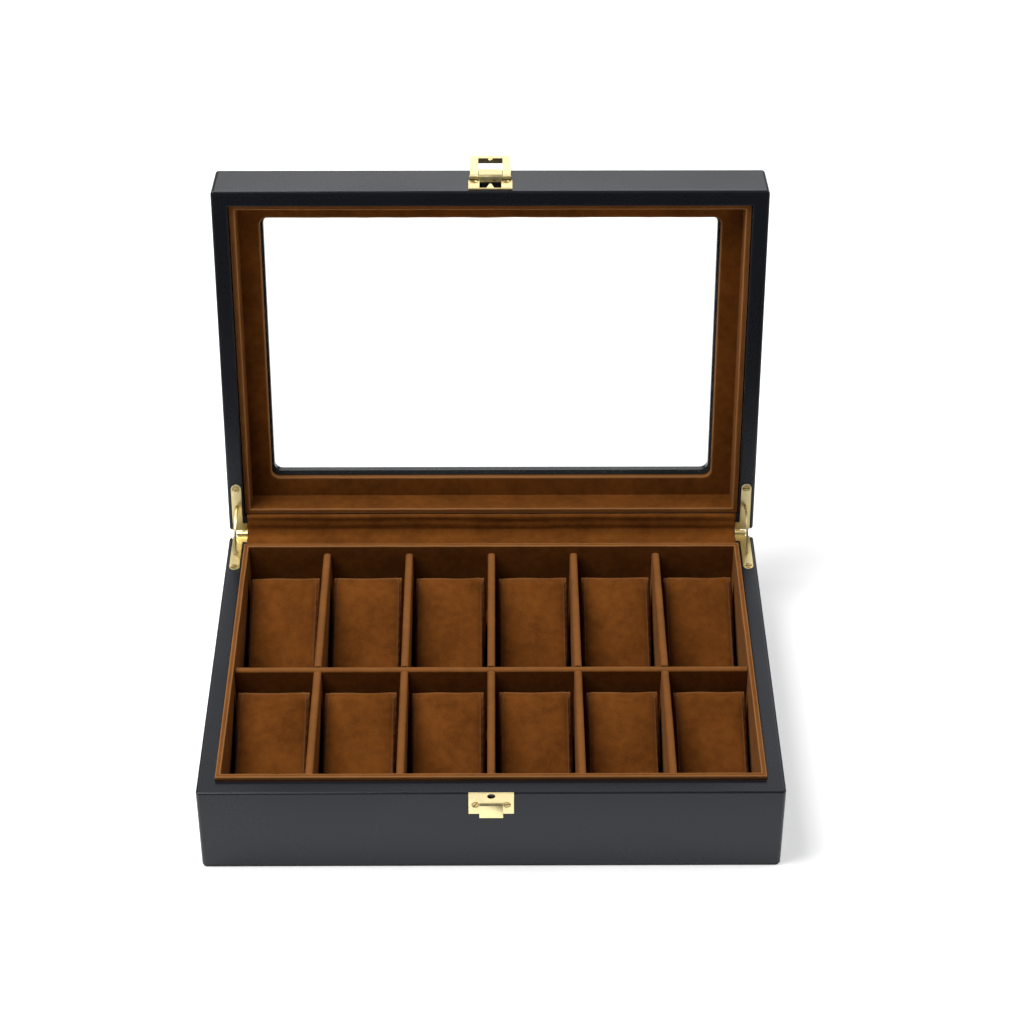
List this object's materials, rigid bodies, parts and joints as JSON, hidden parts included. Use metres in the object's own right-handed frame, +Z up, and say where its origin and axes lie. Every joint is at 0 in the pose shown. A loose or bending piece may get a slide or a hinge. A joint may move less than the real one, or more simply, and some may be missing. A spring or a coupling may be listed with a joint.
{
  "type": "watch box",
  "caption": "Lacquered watch box with a glazed hinged lid, lined compartments with lift-out cushions, stay hinges and a swing hasp.",
  "frame": {"origin": "centre of the underside of the base", "axes": "+X to the right seen from the front, +Y to the back, +Z up"},
  "size_m": [0.335, 0.3121, 0.2957],
  "materials": {
    "black lacquer": "satin black lacquer over board",
    "suede lining": "brown suede-like flocked cloth on board",
    "cushion suede": "brown suede-like cloth over foam",
    "gold metal": "pale polished plate",
    "glass": "clear",
    "gasket": "matt black",
    "base felt": "dark felt"
  },
  "bodies": {
    "base": {"base_wall_front": "black lacquer", "base_wall_back": "black lacquer", "base_wall_left": "black lacquer", "base_wall_right": "black lacquer", "base_floor": "black lacquer", "base_felt": "base felt", "base_lining_front": "suede lining", "base_lining_back": "suede lining", "base_lining_left": "suede lining", "base_lining_right": "suede lining", "base_floor_lining": "suede lining", "divider_long": "suede lining", "divider_cross_1": "suede lining", "divider_cross_2": "suede lining", "divider_cross_3": "suede lining", "divider_cross_4": "suede lining", "divider_cross_5": "suede lining", "hinge_strip_base": "suede lining", "catch_plate": "gold metal", "catch_screw_left": "gold metal", "catch_screw_right": "gold metal", "hinge_left_base_leaf": "gold metal", "hinge_left_pin": "gold metal", "hinge_left_base_screw": "gold metal", "hinge_right_base_leaf": "gold metal", "hinge_right_pin": "gold metal", "hinge_right_base_screw": "gold metal"},
    "lid": {"lid_rail_front": "black lacquer", "lid_rail_back": "black lacquer", "lid_rail_left": "black lacquer", "lid_rail_right": "black lacquer", "lid_top_frame": "black lacquer", "lid_glass": "glass", "lid_gasket": "gasket", "lid_lining_frame": "suede lining", "lid_lining_walls": "suede lining", "hinge_strip_lid": "suede lining", "hasp_plate": "gold metal", "hasp_pin": "gold metal", "hasp_screw_left": "gold metal", "hasp_screw_right": "gold metal", "hinge_left_lid_leaf": "gold metal", "hinge_left_lid_screw": "gold metal", "hinge_right_lid_leaf": "gold metal", "hinge_right_lid_screw": "gold metal"},
    "stay_left": {"hinge_left_stay": "gold metal"},
    "stay_right": {"hinge_right_stay": "gold metal"},
    "hasp": {"hasp_frame": "gold metal"},
    "cushion_back_1": {"cushion_back_1": "cushion suede"},
    "cushion_back_2": {"cushion_back_2": "cushion suede"},
    "cushion_back_3": {"cushion_back_3": "cushion suede"},
    "cushion_back_4": {"cushion_back_4": "cushion suede"},
    "cushion_back_5": {"cushion_back_5": "cushion suede"},
    "cushion_back_6": {"cushion_back_6": "cushion suede"},
    "cushion_front_1": {"cushion_front_1": "cushion suede"},
    "cushion_front_2": {"cushion_front_2": "cushion suede"},
    "cushion_front_3": {"cushion_front_3": "cushion suede"},
    "cushion_front_4": {"cushion_front_4": "cushion suede"},
    "cushion_front_5": {"cushion_front_5": "cushion suede"},
    "cushion_front_6": {"cushion_front_6": "cushion suede"}
  },
  "joints": [
    {"name": "lid_hinge", "type": "hinge", "parent": "base", "child": "lid", "pos_m": [0, 0.1196, 0.0588], "axis": [-1, 0, 0], "range_deg": [-98, 0]},
    {"name": "stay_left_swing", "type": "hinge", "parent": "base", "child": "stay_left", "pos_m": [0, 0.1196, 0.0588], "axis": [-1, 0, 0], "range_deg": [-49.01, 0]},
    {"name": "stay_right_swing", "type": "hinge", "parent": "base", "child": "stay_right", "pos_m": [0, 0.1196, 0.0588], "axis": [-1, 0, 0], "range_deg": [-49.01, 0]},
    {"name": "hasp_swing", "type": "hinge", "parent": "lid", "child": "hasp", "pos_m": [0, 0.1695, 0.29314], "axis": [-1, 0, 0], "range_deg": [-170, 0]},
    {"name": "cushion_back_1_lift", "type": "slide", "parent": "base", "child": "cushion_back_1", "axis": [0, 0, 1], "range_m": [0, 0.07]},
    {"name": "cushion_back_2_lift", "type": "slide", "parent": "base", "child": "cushion_back_2", "axis": [0, 0, 1], "range_m": [0, 0.07]},
    {"name": "cushion_back_3_lift", "type": "slide", "parent": "base", "child": "cushion_back_3", "axis": [0, 0, 1], "range_m": [0, 0.07]},
    {"name": "cushion_back_4_lift", "type": "slide", "parent": "base", "child": "cushion_back_4", "axis": [0, 0, 1], "range_m": [0, 0.07]},
    {"name": "cushion_back_5_lift", "type": "slide", "parent": "base", "child": "cushion_back_5", "axis": [0, 0, 1], "range_m": [0, 0.07]},
    {"name": "cushion_back_6_lift", "type": "slide", "parent": "base", "child": "cushion_back_6", "axis": [0, 0, 1], "range_m": [0, 0.07]},
    {"name": "cushion_front_1_lift", "type": "slide", "parent": "base", "child": "cushion_front_1", "axis": [0, 0, 1], "range_m": [0, 0.07]},
    {"name": "cushion_front_2_lift", "type": "slide", "parent": "base", "child": "cushion_front_2", "axis": [0, 0, 1], "range_m": [0, 0.07]},
    {"name": "cushion_front_3_lift", "type": "slide", "parent": "base", "child": "cushion_front_3", "axis": [0, 0, 1], "range_m": [0, 0.07]},
    {"name": "cushion_front_4_lift", "type": "slide", "parent": "base", "child": "cushion_front_4", "axis": [0, 0, 1], "range_m": [0, 0.07]},
    {"name": "cushion_front_5_lift", "type": "slide", "parent": "base", "child": "cushion_front_5", "axis": [0, 0, 1], "range_m": [0, 0.07]},
    {"name": "cushion_front_6_lift", "type": "slide", "parent": "base", "child": "cushion_front_6", "axis": [0, 0, 1], "range_m": [0, 0.07]}
  ],
  "couplings": [
    {"joint": "stay_left_swing", "follows": "lid_hinge", "ratio": 0.5},
    {"joint": "stay_right_swing", "follows": "lid_hinge", "ratio": 0.5}
  ]
}
